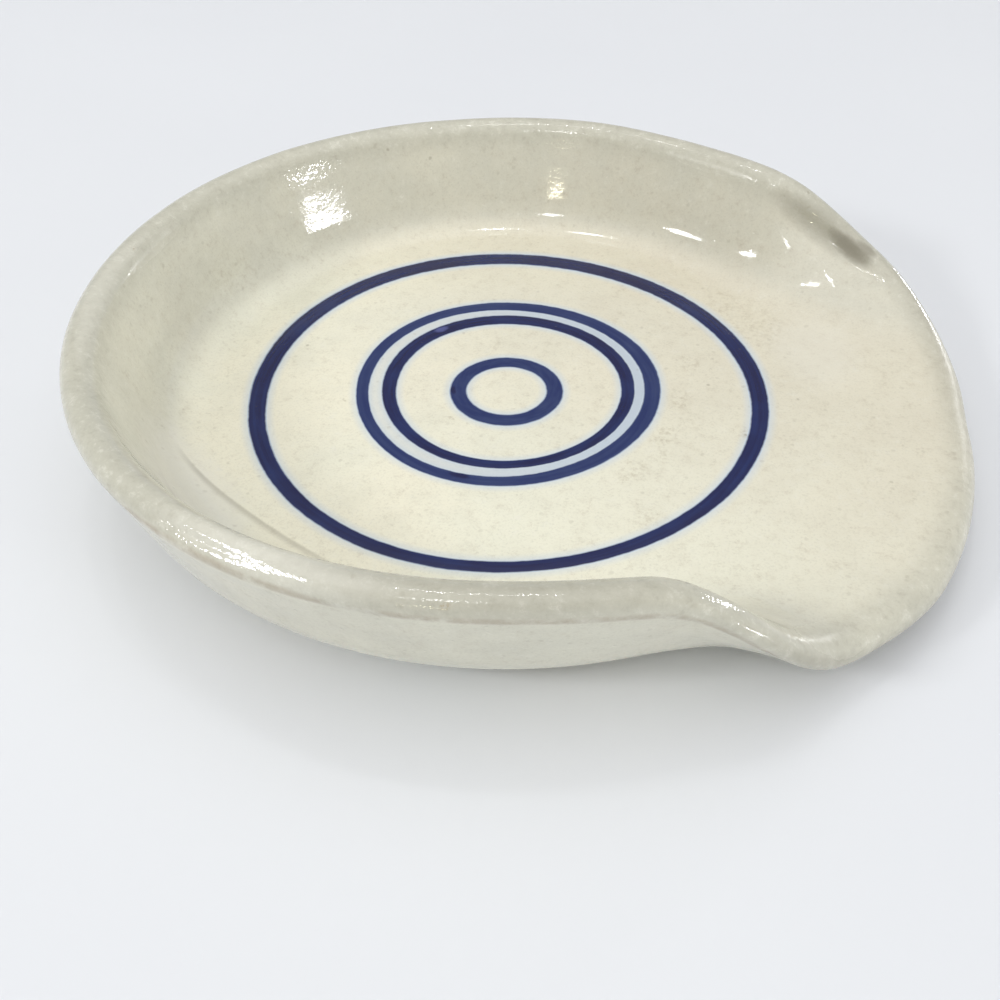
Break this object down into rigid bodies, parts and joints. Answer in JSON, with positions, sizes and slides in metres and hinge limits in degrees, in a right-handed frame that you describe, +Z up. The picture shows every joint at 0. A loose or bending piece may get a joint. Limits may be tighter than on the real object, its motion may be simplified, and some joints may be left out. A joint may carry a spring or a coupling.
{
  "type": "spoon rest",
  "caption": "Round hand-thrown stoneware spoon rest: a shallow dish with one side pressed down into a lip for the handle, a turned foot ring and blue bands on its floor.",
  "frame": {"origin": "centre of the foot ring, on the face that it stands on, which is on the wheel axis", "axes": "+Z up along the wheel axis, +X out over the middle of the lip, +Y towards the side on which the lip reaches further out"},
  "size_m": [0.148, 0.1366, 0.0284],
  "materials": {
    "glazed_stoneware": "ivory gloss glaze with fine specks, bare buff clay on the foot",
    "dark_cobalt": "brushed dark cobalt under the glaze",
    "cobalt": "brushed thinner cobalt under the glaze"
  },
  "bodies": {
    "root": {"dish": "glazed_stoneware", "outer_band": "dark_cobalt", "pair_outer_band": "cobalt", "pair_inner_band": "dark_cobalt", "centre_band": "cobalt"}
  },
  "joints": []
}
